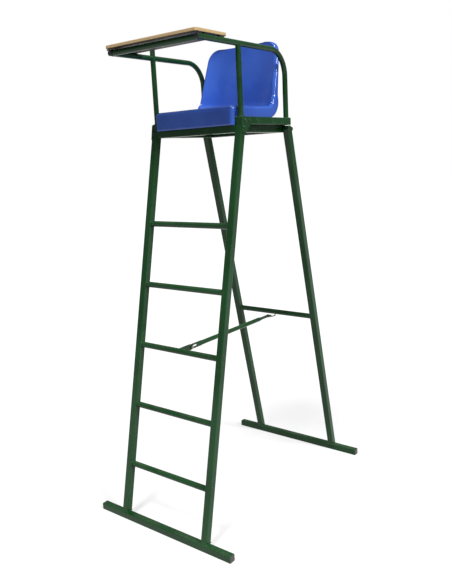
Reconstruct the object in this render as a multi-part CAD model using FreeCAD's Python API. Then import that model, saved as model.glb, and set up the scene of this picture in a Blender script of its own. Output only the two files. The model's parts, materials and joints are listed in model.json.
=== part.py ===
import FreeCAD, Part
import math
import os
from FreeCAD import Vector

# Folding umpire's high chair. Millimetres, +Z up, the ladder faces -Y, origin on the floor midway
# between the two base bars.

# ---- tube stock ----
square_side = 30.0            # square tube of the ladder, legs, base bars and seat frame
square_wall = 1.5
rung_diameter = 25.0          # round tube of the rungs and the rear cross bar
rung_wall = 1.5
arm_diameter = 22.0           # round tube of the arms, posts and tray cross bar
arm_wall = 1.5

# ---- stance ----
stile_spacing = 450.0         # between the centrelines of the two stiles, and of the two rear legs
foot_spread = 536.4           # from the middle of the chair to the centreline of each base bar
top_spread = 173.0            # from the middle of the chair to each leg centreline at pivot height
pivot_height = 1648.0
base_bar_length = 724.0
plug_flange = 3.0
rear_cross_bar_height = 762.0
bottom_rung_height = 240.0
rung_spacing = 258.5
rung_count = 5

# ---- seat frame and cradle ----
seat_frame_bottom = 1665.0
seat_frame_depth = 360.0
cradle_leg_gap = 2.5          # room for the washer between the cradle end and a rear leg
strap_width = 30.0
strap_thickness = 4.0
strap_front = -85.0
strap_rear = 75.0

# ---- arms, posts and tray ----
arm_height = 1967.0           # centreline of the level stretch
arm_bend_radius = 100.0
arm_front = -410.0
tray_bar_place = -397.0
post_stub_height = 2012.0
board_overhang = 9.0          # each end of the board past the centreline of its arm
board_depth = 182.0
board_thickness = 12.0
board_front = -425.5
board_clearance = 4.0         # between the crown of the arms and the underside of the board
board_corner = 6.0
hinge_length = 45.0
hinge_leaf = 1.8
hinge_knuckle_radius = 3.5
hinge_pin_radius = 1.5
hinge_offset = 6.0            # from the board's end to the hinge axis
hinge_places = (-385.0, -283.0)
pad_gap = 0.2
pad_places = (-360.0, -270.0)

# ---- stay ----
stay_reach = 76.0             # from the centre of the rung to the stay's pivot
stay_height = 755.0
stay_diameter = 20.0
stay_wall = 1.5
tongue_thickness = 5.0
tongue_width = 22.0
stay_bolt_radius = 4.0
stay_slot_length = 46.0
hook_rod_radius = 3.0
hook_place = 300.0            # where the hook's tip stands up through the rear tongue
hook_tip_height = 763.0
rear_slot_front = 278.0
rear_slot_rear = 308.0
rear_slot_width = 9.0
lug_thickness = 4.0

# ---- fits ----
running_fit = 0.05
side_gap = 0.3
pivot_bolt_radius = 5.0
washer_thickness = 2.0
washer_radius = 11.0

# ---- seat shell ----
shell_thickness = 4.0
lip_front = -197.0
lip_bottom = 1665.0
lip_radius = 18.0
seat_top = 1740.0
pan_slope = 5.9               # degrees, falling towards the back
pan_length = 250.0
heel_radius = 75.0            # between the pan and the backrest
back_recline = 7.7            # degrees from upright
back_length = 244.0
back_corner = 48.0
rim_roll = 9.0
lip_side = 12.5               # how far the ends of the front lip turn back
shell_rail_gap = 1.5

# ---- values worked out from the ones above ----
half_side = square_side / 2
stile_x = stile_spacing / 2
stile_inner = stile_x - half_side
stile_outer = stile_x + half_side
lean = math.degrees(math.atan2(foot_spread - top_spread, pivot_height))
seat_frame_top = seat_frame_bottom + square_side
cradle_bottom = seat_frame_bottom - square_side
cradle_height = seat_frame_bottom - half_side
frame_y = seat_frame_depth / 2 - half_side
arm_radius = arm_diameter / 2
board_bottom = arm_height + arm_radius + board_clearance
board_length = stile_spacing + 2 * board_overhang
board_rear = board_front + board_depth


def leg_y(height):
    """Distance from the middle of the chair to the leg centreline at a height."""
    return foot_spread - (foot_spread - top_spread) * height / pivot_height


def save(name, shapes):
    """Write one node; several solids are kept apart in a compound."""
    shapes = shapes if isinstance(shapes, list) else [shapes]
    shape = shapes[0] if len(shapes) == 1 else Part.makeCompound(shapes)
    shape.exportStep("parts/" + name + ".step")


def block(x0, x1, y0, y1, z0, z1):
    low_x, low_y, low_z = min(x0, x1), min(y0, y1), min(z0, z1)
    return Part.makeBox(abs(x1 - x0), abs(y1 - y0), abs(z1 - z0), Vector(low_x, low_y, low_z))


def cylinder(start, end, radius):
    along = end - start
    return Part.makeCylinder(radius, along.Length, start, along)


def round_tube(start, end, radius, wall):
    along = (end - start).normalize()
    bore = cylinder(start - along, end + along, radius - wall)
    return cylinder(start, end, radius).cut(bore)


def square_tube_x(x0, x1, y, z):
    outer = block(x0, x1, y - half_side, y + half_side, z - half_side, z + half_side)
    inner = half_side - square_wall
    return outer.cut(block(x0 - 1, x1 + 1, y - inner, y + inner, z - inner, z + inner))


def square_tube_y(y0, y1, x, z):
    outer = block(x - half_side, x + half_side, y0, y1, z - half_side, z + half_side)
    inner = half_side - square_wall
    return outer.cut(block(x - inner, x + inner, y0 - 1, y1 + 1, z - inner, z + inner))


def bent_wire(corners, radius):
    """A wire through corners with a tangent arc of the radius at each inner corner."""
    edges = []
    start = corners[0]
    for before, corner, after in zip(corners, corners[1:], corners[2:]):
        back = (before - corner).normalize()
        ahead = (after - corner).normalize()
        half_angle = back.getAngle(ahead) / 2
        setback = radius / math.tan(half_angle)
        middle = (back + ahead).normalize()
        centre = corner + middle * (radius / math.sin(half_angle))
        arc_start, arc_end = corner + back * setback, corner + ahead * setback
        edges.append(Part.LineSegment(start, arc_start).toShape())
        edges.append(Part.Arc(arc_start, centre - middle * radius, arc_end).toShape())
        start = arc_end
    edges.append(Part.LineSegment(start, corners[-1]).toShape())
    return Part.Wire(edges)


def bent_rod(corners, bend_radius, radius):
    path = bent_wire(corners, bend_radius)
    ring = Part.Circle(corners[0], corners[1] - corners[0], radius).toShape()
    return path.makePipeShell([Part.Wire([ring])], True, False)


def plate_x(points, x0, x1):
    """A flat plate square to X with its outline given as (y, z) points."""
    corners = [Vector(x0, y, z) for y, z in points]
    face = Part.Face(Part.makePolygon(corners + corners[:1]))
    return face.extrude(Vector(x1 - x0, 0, 0))


def hexagon_x(y, z, x0, x1, across):
    corners = []
    for step in range(6):
        angle = math.radians(60 * step)
        reach = across / 2 / math.cos(math.radians(30))
        corners.append((y + reach * math.cos(angle), z + reach * math.sin(angle)))
    return plate_x(corners, x0, x1)


# ---- ladder ----
def stile(x):
    """One leaning stile, square cut on the base bar and under the seat frame."""
    reach = 2 * seat_frame_top
    inner = half_side - square_wall
    tube = block(-half_side, half_side, -half_side, half_side, -reach, reach)
    tube = tube.cut(block(-inner, inner, -inner, inner, -reach - 1, reach + 1))
    tube.rotate(Vector(0, 0, 0), Vector(1, 0, 0), -lean)
    tube.translate(Vector(x, -foot_spread, 0))
    room = block(x - square_side, x + square_side, -2 * foot_spread, foot_spread,
                 square_side, seat_frame_bottom)
    return tube.common(room)


gusset_bolt_radius = 4.0
gusset_thickness = 3.0
gusset_head_radius = 6.5
gusset_head_height = 4.5
gusset_shank = 10.0
stile_bolt_heights = (seat_frame_bottom - 10.0, cradle_bottom + 5.0)
frame_front = -seat_frame_depth / 2
gusset_bolts_at = [
    (frame_front + half_side + 2, seat_frame_bottom + half_side),
    (frame_front + half_side + 34, seat_frame_bottom + half_side),
    (-leg_y(stile_bolt_heights[0]), stile_bolt_heights[0]),
    (-leg_y(stile_bolt_heights[1]), stile_bolt_heights[1]),
]
gusset_outline = [
    (frame_front, seat_frame_top - 3),
    (frame_front + 62, seat_frame_top - 3),
    (frame_front + 62, seat_frame_bottom + 6),
    (-leg_y(cradle_bottom) + half_side, cradle_bottom - 5),
    (-leg_y(cradle_bottom) - half_side, cradle_bottom - 5),
]


def gusset_holes(side):
    return [cylinder(Vector(side * (stile_outer - gusset_shank), y, z),
                     Vector(side * (stile_outer + gusset_thickness + 1), y, z), gusset_bolt_radius)
            for y, z in gusset_bolts_at]


def build_ladder():
    gussets, bolts = [], []
    for side, name in ((-1, "left"), (1, "right")):
        holes = Part.makeCompound(gusset_holes(side))
        save("ladder_stile_" + name, stile(side * stile_x).cut(holes))
        plate = plate_x(gusset_outline, side * stile_outer, side * (stile_outer + gusset_thickness))
        gussets.append(plate.cut(holes))
        for y, z in gusset_bolts_at:
            face = side * (stile_outer + gusset_thickness)
            shank = cylinder(Vector(side * (stile_outer - gusset_shank), y, z), Vector(face, y, z),
                             gusset_bolt_radius)
            head = cylinder(Vector(face, y, z), Vector(face + side * gusset_head_height, y, z),
                            gusset_head_radius)
            head = head.makeFillet(gusset_head_height * 0.6, [head.Edges[edge_away(head, side)]])
            bolts.append(shank.fuse(head).removeSplitter())
    save("corner_gussets", gussets)
    save("gusset_bolts", bolts)
    for number in range(rung_count):
        height = bottom_rung_height + rung_spacing * (rung_count - 1 - number)
        y = -leg_y(height)
        save("rung_%d" % (number + 1), round_tube(Vector(-stile_inner, y, height),
                                                  Vector(stile_inner, y, height),
                                                  rung_diameter / 2, rung_wall))


def edge_away(shape, side):
    """Index of the circular edge of a cylinder that lies furthest along side."""
    circles = [(side * edge.CenterOfMass.x, index) for index, edge in enumerate(shape.Edges)
               if isinstance(edge.Curve, Part.Circle)]
    return max(circles)[1]


def base_plugs(y):
    """Two push-in end plugs of a base bar."""
    plugs = []
    inner = half_side - square_wall
    for side in (-1, 1):
        end = side * base_bar_length / 2
        flange = block(end, end + side * plug_flange, y - half_side, y + half_side, 0, square_side)
        flange = flange.makeFillet(1.5, [e for e in flange.Faces[0 if side < 0 else 1].Edges])
        tongue = block(end - side * 18, end, y - inner, y + inner, square_wall, square_side - square_wall)
        plugs.append(flange.fuse(tongue).removeSplitter())
    return plugs


def build_base():
    half = base_bar_length / 2
    save("front_base_bar", square_tube_x(-half, half, -foot_spread, half_side))
    save("rear_base_bar", square_tube_x(-half, half, foot_spread, half_side))
    save("front_base_plugs", base_plugs(-foot_spread))
    save("rear_base_plugs", base_plugs(foot_spread))


# ---- cradle and seat frame ----
frame_bolt_radius = 4.0
frame_bolt_x = 120.0
cradle_side_x = stile_inner - cradle_leg_gap - half_side
frame_bolt_y = (frame_y + leg_y(cradle_height)) / 2


def frame_bolts():
    """Upright bolts that hold the seat frame on the cradle: shank, head and nut in one."""
    bolts = []
    for x in (-frame_bolt_x, frame_bolt_x):
        for y in (-frame_bolt_y, frame_bolt_y):
            shank = cylinder(Vector(x, y, cradle_bottom + square_wall + 4), Vector(x, y, seat_frame_top + 1),
                             frame_bolt_radius)
            head = cylinder(Vector(x, y, seat_frame_top), Vector(x, y, seat_frame_top + 5), 6.5)
            nut_top = seat_frame_bottom - square_wall
            nut = cylinder(Vector(x, y, nut_top - 6.5), Vector(x, y, nut_top), 6.5)
            bolts.append(shank.fuse([head, nut]).removeSplitter())
    return bolts


def build_seat_frame():
    holes = Part.makeCompound([
        cylinder(Vector(x, y, cradle_height), Vector(x, y, seat_frame_top + 1), frame_bolt_radius)
        for x in (-frame_bolt_x, frame_bolt_x) for y in (-frame_bolt_y, frame_bolt_y)])
    height = seat_frame_bottom + half_side
    cradle_y = leg_y(cradle_height)
    rail_end = frame_y - half_side
    save("cradle_front", square_tube_x(-stile_inner, stile_inner, -cradle_y, cradle_height).cut(holes)
         .cut(Part.makeCompound(gusset_holes(-1) + gusset_holes(1))))
    rear_end = stile_inner - cradle_leg_gap
    save("cradle_rear", square_tube_x(-rear_end, rear_end, cradle_y, cradle_height).cut(holes))
    save("seat_rail_front", square_tube_x(-stile_outer, stile_outer, -frame_y, height).cut(holes)
         .cut(Part.makeCompound(gusset_holes(-1) + gusset_holes(1))))
    save("seat_rail_rear", square_tube_x(-stile_outer, stile_outer, frame_y, height).cut(holes))
    straps = []
    for side, name in ((-1, "left"), (1, "right")):
        save("cradle_" + name, square_tube_y(-cradle_y + half_side, cradle_y - half_side,
                                             side * cradle_side_x, cradle_height))
        rail = square_tube_y(-rail_end, rail_end, side * stile_x, height)
        save("seat_rail_" + name, rail.cut(Part.makeCompound(gusset_holes(side))))
    for y in (strap_front, strap_rear):
        strap = block(-stile_inner, stile_inner, y - strap_width / 2, y + strap_width / 2,
                      seat_frame_top - strap_thickness, seat_frame_top)
        for x in (-boss_x, boss_x):
            strap = strap.cut(cylinder(Vector(x, y, cradle_bottom), Vector(x, y, seat_top), boss_bolt_radius))
        straps.append(strap)
    save("seat_straps", straps)
    save("frame_bolts", frame_bolts())


# ---- seat shell ----
boss_x = 110.0
boss_radius = 10.0
boss_bolt_radius = 4.0


def shell_path():
    """Centre line of the shell in the middle plane as (length, curvature) pieces, front to top."""
    lip_rise = seat_top - lip_radius - lip_bottom
    return [
        (lip_rise, 0.0),
        (math.radians(90 + pan_slope) * lip_radius, -1 / lip_radius),
        (pan_length, 0.0),
        (math.radians(90 - back_recline + pan_slope) * heel_radius, 1 / heel_radius),
        (back_length, 0.0),
    ]


def point_on_path(distance):
    """Place (y, z) and heading in radians at a distance along the shell's centre line."""
    y, z, heading = lip_front, lip_bottom, math.pi / 2
    for length, curvature in shell_path():
        step = min(distance, length)
        if curvature:
            turned = heading + step * curvature
            y += (math.sin(turned) - math.sin(heading)) / curvature
            z -= (math.cos(turned) - math.cos(heading)) / curvature
            heading = turned
        else:
            y += step * math.cos(heading)
            z += step * math.sin(heading)
        distance -= step
        if distance <= 0:
            break
    return y, z, heading


def shell_stations():
    """(distance, rim height, edge height, half width) where the section of the shell is set."""
    lengths = [piece[0] for piece in shell_path()]
    reach = [sum(lengths[:count]) for count in range(len(lengths) + 1)]
    skirt = seat_frame_top + shell_rail_gap
    rows = [(reach[0], 0.0, -lip_side, 206.0), (reach[1], 0.0, -lip_side, 207.0),
            (reach[2], 0.0, -lip_side, 209.0)]
    for part, lift in ((0.3, 0.0), (0.6, 1.0), (1.0, 6.0)):
        distance = reach[2] + part * lengths[2]
        z = point_on_path(distance)[1]
        rows.append((distance, seat_top + lift - z, skirt - z, 212.0))
    rows.append((reach[3] + lengths[3] / 2, 54.0, 4.0, 211.0))
    rows.append((reach[4], 48.0, 22.0, 208.0))
    rows.append((reach[4] + lengths[4] / 2, 26.0, 10.0, 200.0))
    rows.append((reach[5], 9.0, -9.0, 187.0))
    return rows


def section_at(distance):
    """Rim height, edge height and half width at a distance, on a smooth curve through the stations."""
    rows = shell_stations()
    spot = max(i for i in range(len(rows) - 1) if rows[i][0] <= distance or i == 0)
    low, high = rows[spot], rows[spot + 1]
    before, after = rows[max(spot - 1, 0)], rows[min(spot + 2, len(rows) - 1)]
    span = high[0] - low[0]
    t = (distance - low[0]) / span
    values = []
    for k in (1, 2, 3):
        slope_low = (high[k] - before[k]) / (high[0] - before[0]) * span
        slope_high = (after[k] - low[k]) / (after[0] - low[0]) * span
        values.append((2 * t**3 - 3 * t**2 + 1) * low[k] + (t**3 - 2 * t**2 + t) * slope_low
                      + (3 * t**2 - 2 * t**3) * high[k] + (t**3 - t**2) * slope_high)
    below_top = rows[-1][0] - distance
    if below_top < back_corner:
        inset = 1 - max(0.0, below_top) / back_corner
        values[2] -= back_corner * (1 - math.sqrt(max(0.0, 1 - inset**2)))
    return values


dish_share = 0.62             # share of the section, from the middle, that is the dish
roll_share = 0.24
dish_power = 4


def shell_point(across, distance):
    """Sitting surface: across is -1 to 1, from the left edge to the right one."""
    y, z, heading = point_on_path(distance)
    rim, edge, half_width = section_at(distance)
    part = abs(across)
    flat = half_width - rim_roll
    if part < dish_share:
        share = part / dish_share
        x, height = flat * share, rim * share**dish_power
    elif part < dish_share + roll_share:
        angle = (part - dish_share) / roll_share * math.pi / 2
        x, height = flat + rim_roll * math.sin(angle), rim - (rim_roll * (1 - math.cos(angle)))
    else:
        share = (part - dish_share - roll_share) / (1 - dish_share - roll_share)
        x, height = half_width, (rim - rim_roll) + (edge - rim + rim_roll) * share
    side = -1.0 if across < 0 else 1.0
    return Vector(side * x, y - height * math.sin(heading), z + height * math.cos(heading))


def shell_grid():
    """Points of the sitting surface and of the underside, one list for each row front to back."""
    lengths = [piece[0] for piece in shell_path()]
    counts = (3, 4, 6, 7, 9)
    distances, start = [0.0], 0.0
    for length, count in zip(lengths, counts):
        for i in range(1, count + 1):
            share = i / count
            if length == lengths[-1]:
                share = math.sin(share * math.pi / 2)
            distances.append(start + length * share)
        start += length
    shares = [i / 10 for i in range(-10, 11)]
    small = 0.01
    top, under = [], []
    for distance in distances:
        top_row, under_row = [], []
        for across in shares:
            point = shell_point(across, distance)
            inner = min(1 - small, max(small - 1, across))
            place = min(distances[-1] - 2.0, max(0.5, distance))
            sideways = shell_point(inner + small, place) - shell_point(inner - small, place)
            forwards = shell_point(across, place + 0.4) - shell_point(across, place - 0.4)
            normal = sideways.cross(forwards).normalize()
            top_row.append(point)
            under_row.append(point - normal * shell_thickness)
        top.append(top_row)
        under.append(under_row)
    return top, under


def smooth_surface(rows):
    """A cubic surface pulled smoothly along a grid of points, meeting the grid at its four edges."""
    degree = 3

    def knots(count):
        inner = count - degree
        return list(range(inner + 1)), [degree + 1] + [1] * (inner - 1) + [degree + 1]

    knots_u, mults_u = knots(len(rows))
    knots_v, mults_v = knots(len(rows[0]))
    surface = Part.BSplineSurface()
    surface.buildFromPolesMultsKnots(rows, mults_u, mults_v, knots_u, knots_v, False, False, degree, degree)
    return surface


def build_shell():
    top, under = shell_grid()
    surfaces = [smooth_surface(rows) for rows in (top, under)]
    faces = [surface.toShape() for surface in surfaces]
    u0, u1, v0, v1 = surfaces[0].bounds()
    U0, U1, V0, V1 = surfaces[1].bounds()
    pairs = [
        (surfaces[0].uIso(u0), surfaces[1].uIso(U0)), (surfaces[0].uIso(u1), surfaces[1].uIso(U1)),
        (surfaces[0].vIso(v0), surfaces[1].vIso(V0)), (surfaces[0].vIso(v1), surfaces[1].vIso(V1)),
    ]
    for first, second in pairs:
        faces.append(Part.makeRuledSurface(first.toShape(), second.toShape()))
    shell = Part.makeShell(faces)
    shell.sewShape()
    solid = Part.makeSolid(shell)
    if solid.Volume < 0:
        solid.reverse()
    print("shell valid", solid.isValid(), "volume", round(solid.Volume), solid.BoundBox)
    save("seat_shell", solid)
    return solid


def pan_underside(shell, x, y):
    """Lowest height of the shell's underside over a small round area."""
    post = cylinder(Vector(x, y, seat_frame_top), Vector(x, y, seat_top + 60), boss_radius)
    return post.common(shell).BoundBox.ZMin


def build_seat_fixings(shell):
    bosses, bolts = [], []
    for y in (strap_front, strap_rear):
        for x in (-boss_x, boss_x):
            top = pan_underside(shell, x, y) - side_gap
            bore = cylinder(Vector(x, y, seat_frame_top - 1), Vector(x, y, top - 2), boss_bolt_radius)
            bosses.append(cylinder(Vector(x, y, seat_frame_top), Vector(x, y, top), boss_radius).cut(bore))
            low = seat_frame_top - strap_thickness
            shank = cylinder(Vector(x, y, low - 1), Vector(x, y, top - 3), boss_bolt_radius)
            head = cylinder(Vector(x, y, low - 5), Vector(x, y, low), 7.0)
            bolts.append(shank.fuse(head).removeSplitter())
    save("seat_bosses", bosses)
    save("seat_bolts", bolts)


# ---- arms, posts and tray ----
def arm_cylinder(x):
    return cylinder(Vector(x, arm_front - 1, arm_height), Vector(x, frame_y, arm_height), arm_radius)


def build_arms():
    plugs = []
    for side, name in ((-1, "left"), (1, "right")):
        x = side * stile_x
        corners = [Vector(x, frame_y, seat_frame_top), Vector(x, frame_y, arm_height),
                   Vector(x, arm_front, arm_height)]
        arm = bent_rod(corners, arm_bend_radius, arm_radius)
        arm = arm.cut(bent_rod(corners, arm_bend_radius, arm_radius - arm_wall))
        save("arm_" + name, arm)
        post = round_tube(Vector(x, -frame_y, seat_frame_top), Vector(x, -frame_y, arm_height),
                          arm_radius, arm_wall)
        save("arm_post_" + name, post.cut(arm_cylinder(x)))
        flange = cylinder(Vector(x, arm_front - 2, arm_height), Vector(x, arm_front, arm_height), arm_radius)
        insert = cylinder(Vector(x, arm_front, arm_height), Vector(x, arm_front + 12, arm_height),
                          arm_radius - arm_wall)
        plugs.append(flange.fuse(insert).removeSplitter())
    save("arm_end_plugs", plugs)
    x = -stile_x
    stub = round_tube(Vector(x, -frame_y, arm_height), Vector(x, -frame_y, post_stub_height),
                      arm_radius, arm_wall)
    save("post_stub", stub.cut(arm_cylinder(x)))
    cap = cylinder(Vector(x, -frame_y, post_stub_height), Vector(x, -frame_y, post_stub_height + 3), arm_radius)
    insert = cylinder(Vector(x, -frame_y, post_stub_height - 10), Vector(x, -frame_y, post_stub_height),
                      arm_radius - arm_wall)
    save("post_stub_cap", cap.fuse(insert).removeSplitter())
    bar = round_tube(Vector(-stile_x, tray_bar_place, arm_height), Vector(stile_x, tray_bar_place, arm_height),
                     arm_radius, arm_wall)
    save("tray_cross_bar", bar.cut(arm_cylinder(-stile_x)).cut(arm_cylinder(stile_x)))


def build_board():
    half = board_length / 2
    board = block(-half, half, board_front, board_rear, board_bottom, board_bottom + board_thickness)
    upright = [edge for edge in board.Edges if abs(edge.Length - board_thickness) < 0.01]
    board = board.makeFillet(board_corner, upright)
    axis_x, axis_z = -half - hinge_offset, board_bottom - hinge_leaf - 0.2
    arm_leaves, board_leaves, pins, screws, screw_holes = [], [], [], [], []
    arm_top = arm_height + arm_radius
    third = hinge_length / 3
    for centre in hinge_places:
        low, high = centre - hinge_length / 2, centre + hinge_length / 2
        knuckle_bore = cylinder(Vector(axis_x, low - 1, axis_z), Vector(axis_x, high + 1, axis_z),
                                hinge_pin_radius + running_fit)
        fixed = block(axis_x, -stile_x + 12, low, high, arm_top, arm_top + hinge_leaf)
        knuckle = cylinder(Vector(axis_x, low + third, axis_z), Vector(axis_x, high - third, axis_z),
                           hinge_knuckle_radius)
        room = hinge_knuckle_radius + side_gap
        for start, end in ((low, low + third + side_gap), (high - third - side_gap, high)):
            fixed = fixed.cut(block(axis_x - room, axis_x + room, start - 1, end, arm_top - 1, arm_top + 5))
        middle_bore = cylinder(Vector(axis_x, low - 1, axis_z), Vector(axis_x, high + 1, axis_z), hinge_pin_radius)
        arm_leaves.append(fixed.fuse(knuckle).cut(middle_bore).removeSplitter())
        moving = block(axis_x, -stile_x + 26, low, high, board_bottom - hinge_leaf, board_bottom)
        moving = moving.cut(block(axis_x - room, axis_x + room, low + third - side_gap, high - third + side_gap,
                                  board_bottom - 5, board_bottom + 1))
        for start, end in ((low, low + third - side_gap), (high - third + side_gap, high)):
            moving = moving.fuse(cylinder(Vector(axis_x, start, axis_z), Vector(axis_x, end, axis_z),
                                          hinge_knuckle_radius))
        moving = moving.cut(knuckle_bore)
        for y in (centre - 14, centre + 14):
            x = -stile_x + 18
            screw = cylinder(Vector(x, y, board_bottom - hinge_leaf - 1.2), Vector(x, y, board_bottom + 9), 2.0)
            head = Part.makeCone(3.6, 2.4, 1.2, Vector(x, y, board_bottom - hinge_leaf), Vector(0, 0, -1))
            screws.append(screw.fuse(head).removeSplitter())
            screw_holes.append(cylinder(Vector(x, y, board_bottom - 5), Vector(x, y, board_bottom + 9), 2.0))
        moving = moving.cut(Part.makeCompound(screw_holes))
        board_leaves.append(moving.removeSplitter())
        pins.append(cylinder(Vector(axis_x, low - 1, axis_z), Vector(axis_x, high + 1, axis_z), hinge_pin_radius))
    save("writing_board", board.cut(Part.makeCompound(screw_holes)))
    save("hinge_arm_leaves", arm_leaves)
    save("hinge_board_leaves", board_leaves)
    save("hinge_pins", pins)
    save("board_screws", screws)
    pads = []
    for centre in pad_places:
        pad = block(stile_x - 8, stile_x + 6, centre - 12, centre + 12, arm_height, board_bottom - pad_gap)
        pads.append(pad.cut(arm_cylinder(stile_x)))
    save("board_rest_pads", pads)


# ---- rear frame ----
def rear_leg(side):
    """One rear leg hung on its pivot bolt; the top is rounded about the bolt."""
    x = side * stile_x
    pivot = Vector(x, top_spread, pivot_height)
    inner = half_side - square_wall
    left, right = x - half_side, x + half_side
    length = 2 * pivot_height
    body = block(left, right, -half_side, half_side, -length, 0)
    body = body.fuse(cylinder(Vector(left, 0, 0), Vector(right, 0, 0), half_side))
    hollow = block(x - inner, x + inner, -inner, inner, -length - 1, 0)
    hollow = hollow.fuse(cylinder(Vector(x - inner, 0, 0), Vector(x + inner, 0, 0), inner))
    body = body.cut(hollow)
    body = body.cut(cylinder(Vector(left - 1, 0, 0), Vector(right + 1, 0, 0), pivot_bolt_radius + running_fit))
    body.rotate(Vector(0, 0, 0), Vector(1, 0, 0), lean)
    body.translate(Vector(0, pivot.y, pivot.z))
    room = block(left - 1, right + 1, -3 * foot_spread, 3 * foot_spread, square_side, seat_frame_top)
    return body.common(room)


def build_rear_frame():
    save("rear_leg_left", rear_leg(-1))
    save("rear_leg_right", rear_leg(1))
    y = leg_y(rear_cross_bar_height)
    bar_start = Vector(-stile_inner, y, rear_cross_bar_height)
    bar_end = Vector(stile_inner, y, rear_cross_bar_height)
    save("rear_cross_bar", round_tube(bar_start, bar_end, rung_diameter / 2, rung_wall))
    bar_low = rear_cross_bar_height - rung_diameter / 2
    tongue_low = stay_height - tongue_thickness / 2
    corners = [Vector(0, y, bar_low + 2), Vector(0, y, bar_low - 8.5),
               Vector(0, hook_place, tongue_low - hook_rod_radius - 0.6),
               Vector(0, hook_place, hook_tip_height)]
    hook = bent_rod(corners, 5.0, hook_rod_radius)
    save("stay_hook", hook.cut(cylinder(bar_start, bar_end, rung_diameter / 2)))
    bolts, washers, plugs = [], [], []
    for side in (-1, 1):
        washer_face = stile_outer + side_gap
        head_face = washer_face + washer_thickness
        axis_point = lambda x: Vector(side * x, top_spread, pivot_height)
        cradle_end = stile_inner - cradle_leg_gap
        shank = cylinder(axis_point(cradle_end - 22), axis_point(head_face), pivot_bolt_radius)
        head = hexagon_x(top_spread, pivot_height, side * head_face, side * (head_face + 6.5), 16.0)
        bolts.append(shank.fuse(head).removeSplitter())
        hole = cylinder(axis_point(cradle_end - 30), axis_point(head_face + 1), pivot_bolt_radius)
        outer = cylinder(axis_point(washer_face), axis_point(head_face), washer_radius)
        inner_start = cradle_end + (cradle_leg_gap - washer_thickness) / 2
        inner = cylinder(axis_point(inner_start), axis_point(inner_start + washer_thickness), washer_radius)
        washers += [outer.cut(hole), inner.cut(hole)]
        inside = half_side - square_wall
        cradle_y = leg_y(cradle_height)
        plug = block(side * (cradle_end - 22), side * cradle_end, cradle_y - inside, cradle_y + inside,
                     cradle_height - inside, cradle_height + inside)
        plugs.append(plug.cut(hole))
    save("pivot_bolts", bolts)
    save("pivot_washers", washers)
    save("pivot_plugs", plugs)


# ---- stay ----
def slotted_tongue(y0, y1, slot0, slot1, slot_width, flat):
    """A flat tongue along Y with a round-ended slot; flat is 'level' or 'upright'."""
    half = tongue_width / 2
    z, t, s = stay_height, tongue_thickness / 2, slot_width / 2
    if flat == "level":
        body = block(-half, half, y0, y1, z - t, z + t)
        slot = block(-s, s, slot0 + s, slot1 - s, z - t - 1, z + t + 1)
        ends = [cylinder(Vector(0, y, z - t - 1), Vector(0, y, z + t + 1), s) for y in (slot0 + s, slot1 - s)]
    else:
        body = block(-t, t, y0, y1, z - half, z + half)
        slot = block(-t - 1, t + 1, slot0 + s, slot1 - s, z - s, z + s)
        ends = [cylinder(Vector(-t - 1, y, z), Vector(t + 1, y, z), s) for y in (slot0 + s, slot1 - s)]
    return body.cut(slot.fuse(ends))


def build_stay():
    rung_number = 3
    rung_height = bottom_rung_height + rung_spacing * (rung_count - rung_number)
    rung_y = -leg_y(rung_height)
    pivot_y = rung_y + stay_reach
    slot_radius = stay_bolt_radius + running_fit
    tube_front = pivot_y - slot_radius + stay_slot_length + 14
    tube_rear = rear_slot_front - 24
    overlap = 18.0
    front = slotted_tongue(pivot_y - tongue_width / 2 - 1, tube_front + overlap, pivot_y - slot_radius,
                           pivot_y - slot_radius + stay_slot_length, 2 * slot_radius, "upright")
    rear = slotted_tongue(tube_rear - overlap, rear_slot_rear + 11, rear_slot_front, rear_slot_rear,
                          rear_slot_width, "level")
    tube = round_tube(Vector(0, tube_front, stay_height), Vector(0, tube_rear, stay_height),
                      stay_diameter / 2, stay_wall)
    save("stay_front_tongue", front)
    save("stay_rear_tongue", rear)
    save("stay_tube", tube.cut(front).cut(rear))
    rung = cylinder(Vector(-stile_inner, rung_y, rung_height), Vector(stile_inner, rung_y, rung_height),
                    rung_diameter / 2)
    lugs = []
    near = tongue_thickness / 2 + side_gap
    half = tongue_width / 2
    for side in (-1, 1):
        x0, x1 = side * near, side * (near + lug_thickness)
        ear = block(x0, x1, rung_y, pivot_y, stay_height - half, stay_height + half)
        ear = ear.fuse(cylinder(Vector(x0, pivot_y, stay_height), Vector(x1, pivot_y, stay_height), half))
        bore = cylinder(Vector(x0 - side, pivot_y, stay_height), Vector(x1 + side, pivot_y, stay_height),
                        stay_bolt_radius)
        lugs.append(ear.cut(rung).cut(bore).removeSplitter())
    save("stay_lugs", lugs)
    outer = near + lug_thickness
    shank = cylinder(Vector(-outer - 14, pivot_y, stay_height), Vector(outer, pivot_y, stay_height),
                     stay_bolt_radius)
    head = hexagon_x(pivot_y, stay_height, outer, outer + 5.3, 13.0)
    save("stay_bolt", shank.fuse(head).removeSplitter())
    hub = cylinder(Vector(-outer - 9, pivot_y, stay_height), Vector(-outer, pivot_y, stay_height), 6.5)
    wings = []
    for tilt in (-1, 1):
        wing = plate_x([(pivot_y + tilt * 4, stay_height - 3), (pivot_y + tilt * 16, stay_height - 5),
                        (pivot_y + tilt * 19, stay_height + 2), (pivot_y + tilt * 14, stay_height + 5),
                        (pivot_y + tilt * 4, stay_height + 3)], -outer - 11, -outer - 8.2)
        wings.append(wing)
    nut = hub.fuse(wings)
    nut = nut.cut(cylinder(Vector(-outer - 12, pivot_y, stay_height), Vector(-outer + 1, pivot_y, stay_height),
                           stay_bolt_radius))
    save("stay_wing_nut", nut.removeSplitter())
    print("stay pivot y", round(pivot_y, 2), "rung y", round(rung_y, 2))


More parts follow.
